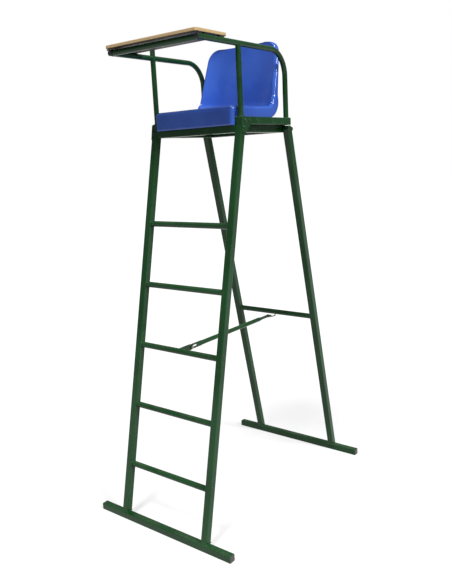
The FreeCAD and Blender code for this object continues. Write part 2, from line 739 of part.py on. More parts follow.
os.makedirs("parts", exist_ok=True)
build_ladder()
build_base()
seat_shell = build_shell()
build_seat_frame()
build_seat_fixings(seat_shell)
build_arms()
build_board()
build_rear_frame()
build_stay()
print("lean", round(lean, 3), "cradle y", round(leg_y(cradle_height), 2))
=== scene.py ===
import bmesh
import bpy
import json
import math
import numpy as np
from mathutils import Matrix, Vector


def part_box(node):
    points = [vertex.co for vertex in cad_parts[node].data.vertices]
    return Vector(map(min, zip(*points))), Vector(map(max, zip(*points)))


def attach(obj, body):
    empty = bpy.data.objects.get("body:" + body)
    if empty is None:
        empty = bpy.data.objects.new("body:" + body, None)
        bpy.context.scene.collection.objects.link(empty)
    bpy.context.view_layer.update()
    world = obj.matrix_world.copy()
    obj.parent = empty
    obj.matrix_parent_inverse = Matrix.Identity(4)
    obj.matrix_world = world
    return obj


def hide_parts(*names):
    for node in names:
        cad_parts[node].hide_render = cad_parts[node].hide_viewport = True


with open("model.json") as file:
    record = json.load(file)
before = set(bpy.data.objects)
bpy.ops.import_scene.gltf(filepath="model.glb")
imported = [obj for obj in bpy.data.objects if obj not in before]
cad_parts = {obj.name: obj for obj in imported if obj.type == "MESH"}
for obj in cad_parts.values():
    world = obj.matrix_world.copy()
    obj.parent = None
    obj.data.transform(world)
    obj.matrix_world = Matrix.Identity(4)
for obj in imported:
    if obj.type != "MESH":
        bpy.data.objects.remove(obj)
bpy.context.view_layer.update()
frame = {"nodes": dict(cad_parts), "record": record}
nodes = frame["nodes"]
print("frame loaded,", len(nodes), "nodes")

stance = dict(
    footSpread=0.5364,       # middle of the chair to each base bar
    topSpread=0.173,         # middle of the chair to each leg line at pivot height
    pivotHeight=1.648,
    tubeHalf=0.015,
    tubeCorner=0.0032,       # outside radius of the square tube's corners
    barHalf=0.0125,
    armRadius=0.011,
    stileX=0.225,
)


def unit(vector):
    # a vector over its own length
    vector = np.asarray(vector, float)
    return vector / np.linalg.norm(vector, axis=-1, keepdims=True)


def legLine(height):
    # distance of a leg from the middle: foot spread less its lean times height
    lean = (stance["footSpread"] - stance["topSpread"]) / stance["pivotHeight"]
    return stance["footSpread"] - lean * height


def circleProfile(radius, count=36):
    # cosine and sine of evenly spaced angles, times the radius
    turn = np.arange(count) * 2 * np.pi / count
    return np.stack([np.cos(turn), np.sin(turn)], 1) * radius


def roundedRectangle(halfX, halfY, corner, arcSteps=6, guard=0.0007):
    # four quarter circles about the corner centres, with a guard point a little way along each flat
    turn = np.linspace(0, np.pi / 2, arcSteps)
    points = []
    for quarter in range(4):
        a, b = (halfX, halfY) if quarter % 2 == 0 else (halfY, halfX)
        arc = np.stack([a - corner + corner * np.cos(turn), b - corner + corner * np.sin(turn)], 1)
        first, last = [[a, b - corner - guard]], [[a - corner - guard, b]]
        c, s = math.cos(quarter * math.pi / 2), math.sin(quarter * math.pi / 2)
        points.append(np.concatenate([first, arc, last]) @ np.array([[c, s], [-s, c]]))
    return np.concatenate(points)


def gridFaces(rows, columns, closedRows, closedColumns):
    # each cell of the grid as four point numbers; a closed direction wraps to its first line
    r = np.arange(rows if closedRows else rows - 1)[:, None]
    c = np.arange(columns if closedColumns else columns - 1)[None, :]
    rNext, cNext = (r + 1) % rows, (c + 1) % columns
    cells = [r * columns + c, r * columns + cNext, rNext * columns + cNext, rNext * columns + c]
    return np.stack(np.broadcast_arrays(*cells), -1).reshape(-1, 4)


def gridPart(points, closedRows=False, closedColumns=True, capEnds=True):
    # a grid of points as a part: its points and faces, with the first and last line closed by a cap
    rows, columns = points.shape[:2]
    faces = gridFaces(rows, columns, closedRows, closedColumns).tolist()
    if capEnds:
        faces += [list(range(columns))[::-1], list(range((rows - 1) * columns, rows * columns))]
    return points.reshape(-1, 3), faces


endRings = ((3.0, 0.0), (1.0, 0.0), (0.3, 0.3), (0.0, 1.0), (0.0, 4.0))  # inset and distance, in bevels


def tubePart(profile, start, end, side, startCut=None, endCut=None, bevel=0.0006, roundEnd=False):
    # a straight tube: axis place plus profile x times side plus profile y times (axis cross side).
    # The end rings draw in by the bevel and run along the axis to the plane square to the cut;
    # a round end draws the profile's y in by the cosine of an angle while it runs on by its sine
    start, end, side = np.asarray(start, float), np.asarray(end, float), unit(side)
    along = unit(end - start)
    across = np.cross(along, side)
    half = np.abs(profile).max()

    def ring(centre, inset, cut=None, squash=1.0):
        shrink = 1 - inset / half
        x, y = profile[:, 0] * shrink, profile[:, 1] * shrink * squash
        points = centre + np.outer(x, side) + np.outer(y, across)
        if cut is not None:
            points = points + np.outer(((centre - points) @ cut) / (along @ cut), along)
        return points

    rows = [ring(start + along * step * bevel, inset * bevel, startCut) for inset, step in endRings]
    if roundEnd:
        rows += [ring(end + along * half * math.sin(t), 0.0, None, max(0.02, math.cos(t)))
                 for t in np.linspace(0, math.pi / 2, 12)]
    else:
        rows += [ring(end - along * step * bevel, inset * bevel, endCut) for inset, step in endRings[::-1]]
    return gridPart(np.array(rows))


def bentPart(path, radius, side, bevel=0.0006):
    # a round tube along a path that lies square to side: place plus radius times the cosine of the
    # turn times side, plus its sine times (direction cross side); the ends draw in by the bevel
    path = np.asarray(path, float)
    direction = unit(np.gradient(path, axis=0))
    startRows = [(path[0] + direction[0] * step * bevel, direction[0], 1 - inset * bevel / radius)
                 for inset, step in endRings]
    endRows = [(path[-1] - direction[-1] * step * bevel, direction[-1], 1 - inset * bevel / radius)
               for inset, step in endRings[::-1]]
    rows = startRows + list(zip(path[1:-1], direction[1:-1], np.ones(len(path) - 2))) + endRows
    places, directions, scales = (np.array([row[k] for row in rows]) for k in range(3))
    across = np.cross(directions, unit(side))
    turn = circleProfile(radius)
    points = (places[:, None, :] + scales[:, None, None] * (turn[None, :, :1] * unit(side)
              + turn[None, :, 1:] * across[:, None, :]))
    return gridPart(points)


def bendPath(corners, radius, steps):
    # straight runs joined by arcs: each arc's centre lies on the corner's bisector and it touches
    # both runs
    corners = [np.asarray(c, float) for c in corners]
    path = [corners[0]]
    for before, corner, after in zip(corners, corners[1:], corners[2:]):
        back, ahead = unit(before - corner), unit(after - corner)
        halfAngle = math.acos(float(back @ ahead)) / 2
        setback, middle = radius / math.tan(halfAngle), unit(back + ahead)
        centre = corner + middle * radius / math.sin(halfAngle)
        a, b = corner + back * setback - centre, corner + ahead * setback - centre
        sweep = math.pi - 2 * halfAngle
        t = np.linspace(0, 1, steps)[:, None]
        path += list(centre + (np.sin((1 - t) * sweep) * a + np.sin(t * sweep) * b) / math.sin(sweep))
    return np.array(path + [corners[-1]])


def lathePart(profile, centre, axis, count=32):
    # a profile of (radius, height) points turned about an axis: centre plus height times the axis
    # plus radius times the turning unit vector
    axis = unit(axis)
    side = unit(np.cross(axis, [0.31, 0.87, 0.4]))
    across = np.cross(axis, side)
    profile = np.asarray(profile, float)
    turn = np.arange(count) * 2 * np.pi / count
    spoke = np.cos(turn)[:, None] * side + np.sin(turn)[:, None] * across
    points = np.asarray(centre) + profile[:, None, 1:] * axis + profile[:, None, :1] * spoke[None]
    return gridPart(points)


def evenly(points, spacing):
    # a closed outline walked at an even spacing, by interpolation over its own length
    loop = np.concatenate([points, points[:1]])
    length = np.concatenate([[0], np.cumsum(np.linalg.norm(np.diff(loop, axis=0), axis=1))])
    places = np.arange(0, length[-1], length[-1] / max(8, round(length[-1] / spacing)))
    return np.stack([np.interp(places, length, loop[:, k]) for k in range(3)], 1)


weldSizes = dict(
    radius=0.0021, small=0.0017, fine=0.0014,      # bead radii at tubes, at the frame and at the arms
    pitch=0.0036, ripple=0.16, wander=0.1, wanderRate=0.19,
    gap=0.0008, proud=0.0004, shy=0.0006,          # how far a bead's middle lies off its tube's face
)


def beadPart(outline, normal, radius, seed):
    # a weld bead: a small circle carried round a closed outline, its radius one plus the ripple
    # times a sine that peaks once a pitch, plus the wander times a slow sine shifted by the seed
    path = evenly(outline, weldSizes["pitch"] / 4)
    direction = unit(np.roll(path, -1, axis=0) - np.roll(path, 1, axis=0))
    across = np.cross(direction, unit(normal))
    step = np.arange(len(path))
    swell = (1 + weldSizes["ripple"] * np.abs(np.sin(step * np.pi / 4))
             + weldSizes["wander"] * np.sin(step * weldSizes["wanderRate"] + seed))
    turn = circleProfile(radius, 9)
    points = (path[:, None, :] + swell[:, None, None] * (turn[None, :, :1] * unit(normal)
              + turn[None, :, 1:] * across[:, None, :]))
    return gridPart(points, closedRows=True, capEnds=False)


def platePart(outlineAt, low, high, rounding):
    # a flat plate: outlines drawn in by an inset, stacked from the low face over a quarter-round
    # edge, up the wall and over the other quarter round; each inset is the rounding times one less
    # the sine of an angle, and each height the rounding times one less its cosine
    t = np.linspace(0, np.pi / 2, 5)
    insets = np.concatenate([[4 * rounding], rounding * (1 - np.sin(t))])
    heights = np.concatenate([[0], rounding * (1 - np.cos(t))])
    rows = [(i, low + h) for i, h in zip(insets, heights)]
    rows += [(i, high - h) for i, h in zip(insets[::-1], heights[::-1])]
    points = [np.column_stack([outlineAt(i), np.full(len(outlineAt(i)), z)]) for i, z in rows]
    return gridPart(np.array(points))


def makePiece(name, parts, material, body, replaced=(), mergeAt=0.0):
    # joins parts into one mesh with its faces outwards, rides it on a body and hides what it replaces
    vertices, faces, count = [], [], 0
    for points, cells in parts:
        vertices.append(points)
        faces += [[index + count for index in cell] for cell in cells]
        count += len(points)
    mesh = bpy.data.meshes.new(name)
    mesh.from_pydata(np.concatenate(vertices).tolist(), [], faces)
    shape = bmesh.new()
    shape.from_mesh(mesh)
    if mergeAt:
        bmesh.ops.remove_doubles(shape, verts=shape.verts, dist=mergeAt)
    bmesh.ops.recalc_face_normals(shape, faces=shape.faces)
    shape.to_mesh(mesh)
    shape.free()
    mesh.polygons.foreach_set("use_smooth", np.ones(len(mesh.polygons), bool))
    mesh.materials.append(material)
    piece = bpy.data.objects.new(name, mesh)
    bpy.context.scene.collection.objects.link(piece)
    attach(piece, body)
    if replaced:
        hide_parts(*replaced)
    return piece


def newGroup(name, inputs, outputs):
    # an empty shader group with named sockets; each input is (name, type, value)
    group = bpy.data.node_groups.new(name, "ShaderNodeTree")
    for label, kind, value in inputs:
        socket = group.interface.new_socket(name=label, in_out="INPUT", socket_type=kind)
        if value is not None:
            socket.default_value = value
    for label, kind in outputs:
        group.interface.new_socket(name=label, in_out="OUTPUT", socket_type=kind)
    return group, group.nodes.new("NodeGroupInput"), group.nodes.new("NodeGroupOutput")


def addNode(tree, kind, settings=None, **sockets):
    # a node with its settings, and values or links for its input sockets by name or number
    node = tree.nodes.new(kind)
    for key, value in (settings or {}).items():
        setattr(node, key, value)
    for key, value in sockets.items():
        key = int(key[1:]) if key[0] == "n" and key[1:].isdigit() else key.replace("_", " ")
        if isinstance(value, bpy.types.NodeSocket):
            tree.links.new(value, node.inputs[key])
        else:
            node.inputs[key].default_value = value
    return node


def mathNode(tree, operation, a, b=0.0, clamp=False):
    # one arithmetic step, its result
    settings = dict(operation=operation, use_clamp=clamp)
    return addNode(tree, "ShaderNodeMath", settings, n0=a, n1=b).outputs[0]


def ramp(tree, value, low, high):
    # 0 below low, 1 above high, smooth between
    return addNode(tree, "ShaderNodeMapRange", dict(interpolation_type="SMOOTHSTEP"), Value=value,
                   From_Min=low, From_Max=high).outputs[0]


def mixColour(tree, factor, a, b):
    # colour a where the factor is 0 and b where it is 1
    return addNode(tree, "ShaderNodeMix", dict(data_type="RGBA"), n0=factor, n6=a, n7=b).outputs[2]


def noiseNode(tree, vector, scale, detail=3.0, roughness=0.5):
    # a noise's value at the place times the scale
    return addNode(tree, "ShaderNodeTexNoise", None, Vector=vector, Scale=scale, Detail=detail,
                   Roughness=roughness).outputs["Fac"]


def stretched(tree, vector, scales):
    # the place with each direction scaled by its own number
    scaled = addNode(tree, "ShaderNodeVectorMath", dict(operation="MULTIPLY"), n0=vector, n1=scales)
    return scaled.outputs[0]


def buildDustGroup():
    # dust: thickest where a face looks up and where a broad noise is high; it greys the colour
    group, given, made = newGroup(
        "dust",
        [("Colour", "NodeSocketColor", None),
         ("Dust Colour", "NodeSocketColor", (0.42, 0.4, 0.34, 1)),
         ("Amount", "NodeSocketFloat", 0.3),
         ("Roughness", "NodeSocketFloat", 0.3)],
        [("Colour", "NodeSocketColor"), ("Roughness", "NodeSocketFloat")])
    place = group.nodes.new("ShaderNodeTexCoord").outputs["Object"]
    up = addNode(group, "ShaderNodeSeparateXYZ", None,
                 n0=group.nodes.new("ShaderNodeNewGeometry").outputs["Normal"]).outputs[2]
    facing = ramp(group, up, 0.25, 1.0)
    broad = ramp(group, noiseNode(group, place, 9.0, 5.0, 0.62), 0.35, 0.75)
    fine = ramp(group, noiseNode(group, place, 160.0, 2.0), 0.3, 0.8)
    mask = mathNode(group, "MULTIPLY", mathNode(group, "MULTIPLY", facing, broad),
                    mathNode(group, "ADD", mathNode(group, "MULTIPLY", fine, 0.5), 0.5))
    mask = mathNode(group, "MULTIPLY", mask, given.outputs["Amount"], True)
    dusty = mixColour(group, mask, given.outputs["Colour"], given.outputs["Dust Colour"])
    rough = mathNode(group, "ADD", given.outputs["Roughness"], mathNode(group, "MULTIPLY", mask, 0.5), True)
    group.links.new(dusty, made.inputs[0])
    group.links.new(rough, made.inputs[1])
    return group


def buildGrainGroup():
    # surface grain: a fine noise and a slow ripple added up as a height and turned into a normal
    group, given, made = newGroup(
        "grain",
        [("Fine Scale", "NodeSocketFloat", 900.0),
         ("Slow Scale", "NodeSocketFloat", 60.0),
         ("Slow Share", "NodeSocketFloat", 0.5),
         ("Depth", "NodeSocketFloat", 0.0001)],
        [("Normal", "NodeSocketVector")])
    place = group.nodes.new("ShaderNodeTexCoord").outputs["Object"]
    fine = noiseNode(group, place, given.outputs["Fine Scale"], 2.0)
    slow = noiseNode(group, place, given.outputs["Slow Scale"], 2.0)
    height = mathNode(group, "ADD", fine, mathNode(group, "MULTIPLY", slow, given.outputs["Slow Share"]))
    bump = addNode(group, "ShaderNodeBump", None, Height=height, Distance=given.outputs["Depth"],
                   Strength=1.0)
    group.links.new(bump.outputs[0], made.inputs[0])
    return group


def buildScuffGroup():
    # scuffs: thin streaks where noise stretched along one way crosses a level, kept to worn patches
    group, given, made = newGroup(
        "scuffs",
        [("Stretch", "NodeSocketVector", (1, 1, 1)),
         ("Scale", "NodeSocketFloat", 120.0),
         ("Amount", "NodeSocketFloat", 0.5)],
        [("Mask", "NodeSocketFloat")])
    place = group.nodes.new("ShaderNodeTexCoord").outputs["Object"]
    pulled = stretched(group, place, given.outputs["Stretch"])
    streak = noiseNode(group, pulled, given.outputs["Scale"], 4.0, 0.65)
    off = mathNode(group, "ABSOLUTE", mathNode(group, "SUBTRACT", streak, 0.5))
    line = mathNode(group, "SUBTRACT", 1.0, mathNode(group, "MULTIPLY", off, 26.0), True)
    patch = ramp(group, noiseNode(group, place, 11.0, 3.0), 0.5, 0.68)
    mask = mathNode(group, "MULTIPLY", line, patch)
    mask = mathNode(group, "MULTIPLY", mask, given.outputs["Amount"], True)
    group.links.new(mask, made.inputs[0])
    return group


dustGroup, grainGroup, scuffGroup = buildDustGroup(), buildGrainGroup(), buildScuffGroup()


def newMaterial(name, roughness, **plain):
    # a principled material and its tree; plain values go straight on the shader's own sockets
    material = bpy.data.materials.new(name)
    material.use_nodes = True
    tree = material.node_tree
    shader = tree.nodes["Principled BSDF"]
    shader.inputs["Roughness"].default_value = roughness
    for key, value in plain.items():
        shader.inputs[key.replace("_", " ")].default_value = value
    return material, tree, shader


def useGroup(tree, group, **sockets):
    # one use of a shader group, with its sockets by name
    return addNode(tree, "ShaderNodeGroup", dict(node_tree=group), **sockets)


paintLook = dict(
    name="greenEnamel", deep=(0.006, 0.040, 0.010, 1), light=(0.011, 0.058, 0.017, 1),
    scuffed=(0.040, 0.078, 0.042, 1), patches=5.0, dust=0.10, roughness=0.2, gloss=0.22,
    scuffStretch=(1.0, 0.25, 0.25), scuffScale=90.0, scuffs=0.55, scuffRoughness=0.3,
    unevenScale=24.0, unevenness=0.14,  # how the roughness wanders
    finePeel=380.0, slowPeel=75.0, slowShare=1.2, peelDepth=0.00009,
)


def wornRoughness(tree, place, scuff, look):
    # the look's roughness, less half its unevenness, plus a noise times it, plus more where scuffed
    uneven = mathNode(tree, "MULTIPLY", noiseNode(tree, place, look["unevenScale"]), look["unevenness"])
    rough = mathNode(tree, "ADD", uneven, look["roughness"] - look["unevenness"] / 2)
    return mathNode(tree, "ADD", rough, mathNode(tree, "MULTIPLY", scuff, look["scuffRoughness"]))


def paintMaterial(look):
    # gloss enamel: two greens by a slow noise, pale scuffs, dust on top, orange peel in the normal
    material, tree, shader = newMaterial(look["name"], look["roughness"], Specular_IOR_Level=look["gloss"],
                                         IOR=1.5)
    place = tree.nodes.new("ShaderNodeTexCoord").outputs["Object"]
    patches = ramp(tree, noiseNode(tree, place, look["patches"], 4.0), 0.3, 0.7)
    colour = mixColour(tree, patches, look["deep"], look["light"])
    scuff = useGroup(tree, scuffGroup, Stretch=look["scuffStretch"], Scale=look["scuffScale"],
                     Amount=look["scuffs"]).outputs[0]
    colour = mixColour(tree, scuff, colour, look["scuffed"])
    rough = wornRoughness(tree, place, scuff, look)
    dust = useGroup(tree, dustGroup, Colour=colour, Amount=look["dust"], Roughness=rough)
    grain = useGroup(tree, grainGroup, Fine_Scale=look["finePeel"], Slow_Scale=look["slowPeel"],
                     Slow_Share=look["slowShare"], Depth=look["peelDepth"])
    tree.links.new(dust.outputs["Colour"], shader.inputs["Base Color"])
    tree.links.new(dust.outputs["Roughness"], shader.inputs["Roughness"])
    tree.links.new(grain.outputs["Normal"], shader.inputs["Normal"])
    return material


moulded = dict(
    patches=6.0, scuffStretch=(0.35, 1.0, 0.6), scuffScale=150.0, scuffs=0.3, scuffRoughness=0.25,
    unevenScale=18.0, unevenness=0.1, fineGrain=1400.0, slowGrain=30.0, slowShare=2.0,
)
shellLook = dict(
    moulded, name="blueShell", deep=(0.026, 0.085, 0.43, 1), light=(0.038, 0.115, 0.51, 1),
    scuffed=(0.07, 0.17, 0.55, 1), dust=0.05, roughness=0.17, grainDepth=0.00005,
)
plugLook = dict(
    moulded, name="greyPlug", deep=(0.034, 0.038, 0.026, 1), light=(0.058, 0.062, 0.044, 1),
    scuffed=(0.16, 0.16, 0.12, 1), dust=0.15, roughness=0.45, grainDepth=0.00012,
)
blackLook = dict(
    moulded, name="blackPlug", deep=(0.012, 0.012, 0.013, 1), light=(0.022, 0.022, 0.022, 1),
    scuffed=(0.08, 0.08, 0.08, 1), dust=0.25, roughness=0.42, grainDepth=0.0001,
)


def plasticMaterial(look):
    # moulded plastic: two shades by a slow noise, scuffs, a little dust, fine grain in the normal
    material, tree, shader = newMaterial(look["name"], look["roughness"], IOR=1.5)
    place = tree.nodes.new("ShaderNodeTexCoord").outputs["Object"]
    patches = ramp(tree, noiseNode(tree, place, look["patches"], 3.0), 0.3, 0.72)
    colour = mixColour(tree, patches, look["deep"], look["light"])
    scuff = useGroup(tree, scuffGroup, Stretch=look["scuffStretch"], Scale=look["scuffScale"],
                     Amount=look["scuffs"]).outputs[0]
    colour = mixColour(tree, scuff, colour, look["scuffed"])
    rough = wornRoughness(tree, place, scuff, look)
    dust = useGroup(tree, dustGroup, Colour=colour, Amount=look["dust"], Roughness=rough)
    grain = useGroup(tree, grainGroup, Fine_Scale=look["fineGrain"], Slow_Scale=look["slowGrain"],
                     Slow_Share=look["slowShare"], Depth=look["grainDepth"])
    tree.links.new(dust.outputs["Colour"], shader.inputs["Base Color"])
    tree.links.new(dust.outputs["Roughness"], shader.inputs["Roughness"])
    tree.links.new(grain.outputs["Normal"], shader.inputs["Normal"])
    return material


zincLook = dict(
    name="zincPlate", bright=(0.34, 0.33, 0.28, 1), dull=(0.16, 0.155, 0.125, 1),
    rust=(0.19, 0.085, 0.035, 1), spangles=140.0, rustSpots=90.0, rustShare=0.6, rustRoughness=0.5,
    roughness=0.32, fineGrain=2400.0, slowGrain=300.0, slowShare=0.6, grainDepth=0.00004,
)


def zincMaterial(look):
    # plated steel: bright and dull patches by noise, faint rust in the low spots
    material, tree, shader = newMaterial(look["name"], look["roughness"], Metallic=1.0)
    place = tree.nodes.new("ShaderNodeTexCoord").outputs["Object"]
    spangle = ramp(tree, noiseNode(tree, place, look["spangles"], 4.0), 0.35, 0.65)
    colour = mixColour(tree, spangle, look["bright"], look["dull"])
    spots = ramp(tree, noiseNode(tree, place, look["rustSpots"], 5.0, 0.7), 0.62, 0.74)
    rust = mathNode(tree, "MULTIPLY", spots, look["rustShare"])
    rougher = mathNode(tree, "MULTIPLY", rust, look["rustRoughness"])
    rough = mathNode(tree, "ADD", rougher, look["roughness"])
    grain = useGroup(tree, grainGroup, Fine_Scale=look["fineGrain"], Slow_Scale=look["slowGrain"],
                     Slow_Share=look["slowShare"], Depth=look["grainDepth"])
    tree.links.new(mixColour(tree, rust, colour, look["rust"]), shader.inputs["Base Color"])
    tree.links.new(rough, shader.inputs["Roughness"])
    tree.links.new(grain.outputs["Normal"], shader.inputs["Normal"])
    return material


boardLook = dict(
    name="plywood", corner=0.010, smallestCorner=0.002, rounding=0.0014, layers=7, dust=0.10, roughness=0.5,
    faceDark=(0.030, 0.018, 0.009, 1), faceLight=(0.060, 0.036, 0.018, 1),
    plyPale=(0.66, 0.50, 0.27, 1), plyDark=(0.40, 0.26, 0.12, 1), grainDepth=0.00012,
    ringStretch=(1.4, 26.0, 26.0), ringScale=2.2, ringCount=9.0,
    poreStretch=(12.0, 520.0, 520.0), fibreStretch=(60.0, 60.0, 900.0), fibreScale=4.0,
    layerWobble=0.0006, scuffStretch=(0.5, 1.0, 1.0), scuffScale=70.0, scuffs=0.35,
)


def plywoodMaterial(look, low, thickness):
    # stained faces with grain along X; the edge shows layers by height, each with its own noise
    material, tree, shader = newMaterial(look["name"], look["roughness"], Specular_IOR_Level=0.3, IOR=1.5)
    place = tree.nodes.new("ShaderNodeTexCoord").outputs["Object"]
    rings = noiseNode(tree, stretched(tree, place, look["ringStretch"]), look["ringScale"], 5.0, 0.6)
    rings = mathNode(tree, "PINGPONG", mathNode(tree, "MULTIPLY", rings, look["ringCount"]), 1.0)
    pores = noiseNode(tree, stretched(tree, place, look["poreStretch"]), 1.0, 3.0)
    grain = mathNode(tree, "ADD", mathNode(tree, "MULTIPLY", rings, 0.7),
                     mathNode(tree, "MULTIPLY", pores, 0.4))
    face = mixColour(tree, ramp(tree, grain, 0.2, 0.9), look["faceDark"], look["faceLight"])
    height = addNode(tree, "ShaderNodeSeparateXYZ", None, n0=place).outputs[2]
    wobble = mathNode(tree, "MULTIPLY", noiseNode(tree, place, 30.0, 2.0), look["layerWobble"])
    depth = mathNode(tree, "ADD", mathNode(tree, "SUBTRACT", height, low), wobble)
    layer = mathNode(tree, "MULTIPLY", depth, look["layers"] / thickness / 2)
    band = ramp(tree, mathNode(tree, "PINGPONG", layer, 0.5), 0.2, 0.3)
    fibre = noiseNode(tree, stretched(tree, place, look["fibreStretch"]), look["fibreScale"], 3.0)
    shade = mathNode(tree, "ADD", mathNode(tree, "MULTIPLY", band, 0.7),
                     mathNode(tree, "MULTIPLY", fibre, 0.35), True)
    edge = mixColour(tree, shade, look["plyPale"], look["plyDark"])
    normalZ = addNode(tree, "ShaderNodeSeparateXYZ", None,
                      n0=tree.nodes.new("ShaderNodeNewGeometry").outputs["Normal"]).outputs[2]
    isFace = ramp(tree, mathNode(tree, "ABSOLUTE", normalZ), 0.6, 0.8)
    scuff = useGroup(tree, scuffGroup, Stretch=look["scuffStretch"], Scale=look["scuffScale"],
                     Amount=look["scuffs"]).outputs[0]
    colour = mixColour(tree, scuff, mixColour(tree, isFace, edge, face), look["plyPale"])
    dust = useGroup(tree, dustGroup, Colour=colour, Amount=look["dust"], Roughness=look["roughness"])
    bump = addNode(tree, "ShaderNodeBump", None, Height=grain, Distance=look["grainDepth"], Strength=1.0)
    tree.links.new(dust.outputs["Colour"], shader.inputs["Base Color"])
    tree.links.new(dust.outputs["Roughness"], shader.inputs["Roughness"])
    tree.links.new(bump.outputs[0], shader.inputs["Normal"])
    return material


paint = paintMaterial(paintLook)
weldPaint = paintMaterial(dict(paintLook, name="weldEnamel", roughness=0.3, dust=0.2, peelDepth=0.00025))
shellPlastic = plasticMaterial(shellLook)
plugPlastic = plasticMaterial(plugLook)
blackPlastic = plasticMaterial(blackLook)
zinc = zincMaterial(zincLook)
boardLow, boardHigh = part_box("writing_board")
plywood = plywoodMaterial(boardLook, boardLow.z, boardHigh.z - boardLow.z)
slotMaterials = dict(green_paint=paint, blue_plastic=shellPlastic, board_wood=plywood, zinc_steel=zinc,
                     grey_plastic=plugPlastic, black_plastic=blackPlastic)
for entry in frame["record"]["subparts"]:
    mesh, material = nodes[entry["node"]].data, slotMaterials[entry["material_slot"]]
    if not len(mesh.materials):
        mesh.materials.append(material)
    for index in range(len(mesh.materials)):
        mesh.materials[index] = material
print("materials made")

squareProfile = roundedRectangle(stance["tubeHalf"], stance["tubeHalf"], stance["tubeCorner"])
rungProfile = circleProfile(stance["barHalf"])
armProfile = circleProfile(stance["armRadius"])
root, rear, stay = "ladder_and_seat", "rear_frame", "stay"
level = np.array([0.0, 0.0, 1.0])


def boxTube(node, body, alongAxis, name, profile):
    # a tube down the middle of a straight node's box, from one end of it to the other along one axis
    low, high = (np.array(corner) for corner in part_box(node))
    middle = (low + high) / 2
    start, end = middle.copy(), middle.copy()
    start[alongAxis], end[alongAxis] = low[alongAxis], high[alongAxis]
    makePiece(name, [tubePart(profile, start, end, (0, 0, 1))], paint, body, [node])


for side, word in ((-1, "left"), (1, "right")):
    x = side * stance["stileX"]
    foot, top = 2 * stance["tubeHalf"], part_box("seat_rail_front")[0].z
    tube = tubePart(squareProfile, (x, -legLine(foot), foot), (x, -legLine(top), top), (1, 0, 0),
                    level, level)
    makePiece("stile" + word.capitalize(), [tube], paint, root, ["ladder_stile_" + word])
    leg = tubePart(squareProfile, (x, legLine(foot), foot), (x, stance["topSpread"], stance["pivotHeight"]),
                   (1, 0, 0), level, roundEnd=True)
    makePiece("rearLeg" + word.capitalize(), [leg], paint, rear, ["rear_leg_" + word])
for number in range(1, 6):
    boxTube("rung_%d" % number, root, 0, "rung%d" % number, rungProfile)
boxTube("rear_cross_bar", rear, 0, "rearCrossBar", rungProfile)
boxTube("front_base_bar", root, 0, "frontBaseBar", squareProfile)
boxTube("rear_base_bar", rear, 0, "rearBaseBar", squareProfile)
for word, axis in (("front", 0), ("rear", 0), ("left", 1), ("right", 1)):
    boxTube("cradle_" + word, root, axis, "cradle" + word.capitalize(), squareProfile)
    boxTube("seat_rail_" + word, root, axis, "seatRail" + word.capitalize(), squareProfile)

armSizes = dict(
    bend=0.100, front=-0.410, bar=-0.397, stubTop=2.012,
    postDrop=0.4,  # how far under the arm's middle the posts end, in arm radii
)
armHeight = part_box("tray_cross_bar")[0].z + stance["armRadius"]
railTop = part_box("seat_rail_front")[1].z
frameY = -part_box("seat_rail_front")[0].y - stance["tubeHalf"]
for side, word in ((-1, "left"), (1, "right")):
    x = side * stance["stileX"]
    path = bendPath([(x, frameY, railTop), (x, frameY, armHeight), (x, armSizes["front"], armHeight)],
                    armSizes["bend"], steps=20)
    makePiece("arm" + word.capitalize(), [bentPart(path, stance["armRadius"], (1, 0, 0))], paint, root,
              ["arm_" + word])
    top = armHeight - stance["armRadius"] * armSizes["postDrop"]
    post = tubePart(armProfile, (x, -frameY, railTop), (x, -frameY, top), (1, 0, 0))
    makePiece("post" + word.capitalize(), [post], paint, root, ["arm_post_" + word])
bar = tubePart(armProfile, (-stance["stileX"], armSizes["bar"], armHeight),
               (stance["stileX"], armSizes["bar"], armHeight), (0, 0, 1))
makePiece("trayBar", [bar], paint, root, ["tray_cross_bar"])
stubBase = (-stance["stileX"], -frameY, armHeight)
stubTop = (stubBase[0], stubBase[1], armSizes["stubTop"])
stub = tubePart(armProfile, stubBase, stubTop, (1, 0, 0))
makePiece("postStub", [stub], paint, root, ["post_stub"])


def domeProfile(radius, height, skirt):
    # a cap: a narrower base, up a short skirt, then a quarter ellipse in to a small flat middle
    t = np.linspace(0, np.pi / 2, 8)[:-1]
    dome = np.stack([radius * np.cos(t), skirt + (height - skirt) * np.sin(t)], 1)
    return np.concatenate([[[radius * 0.9, 0]], [[radius, 0.0003]], dome, [[radius * 0.04, height]]])


capSizes = dict(stubHeight=0.0036, stubSkirt=0.001, armHeight=0.002, armSkirt=0.0006)
stubDome = domeProfile(stance["armRadius"], capSizes["stubHeight"], capSizes["stubSkirt"])
makePiece("postStubCap", [lathePart(stubDome, stubTop, level)], blackPlastic, root,
          ["post_stub_cap"])
armDome = domeProfile(stance["armRadius"], capSizes["armHeight"], capSizes["armSkirt"])
armCaps = [lathePart(armDome, (s * stance["stileX"], armSizes["front"], armHeight), (0, -1, 0))
           for s in (-1, 1)]
makePiece("armEndPlugs", armCaps, blackPlastic, root, ["arm_end_plugs"])
print("tubes made")

plugSizes = dict(
    corner=0.004, smallestCorner=0.0008, guard=0.0002,
    steps=(  # how far each ring of the flange draws in, and how far it stands out
        (0.0004, 0.0), (0.0, 0.0005), (0.0, 0.0012), (0.0005, 0.0019), (0.002, 0.0025), (0.006, 0.003),
        (0.011, 0.003),
    ),
)


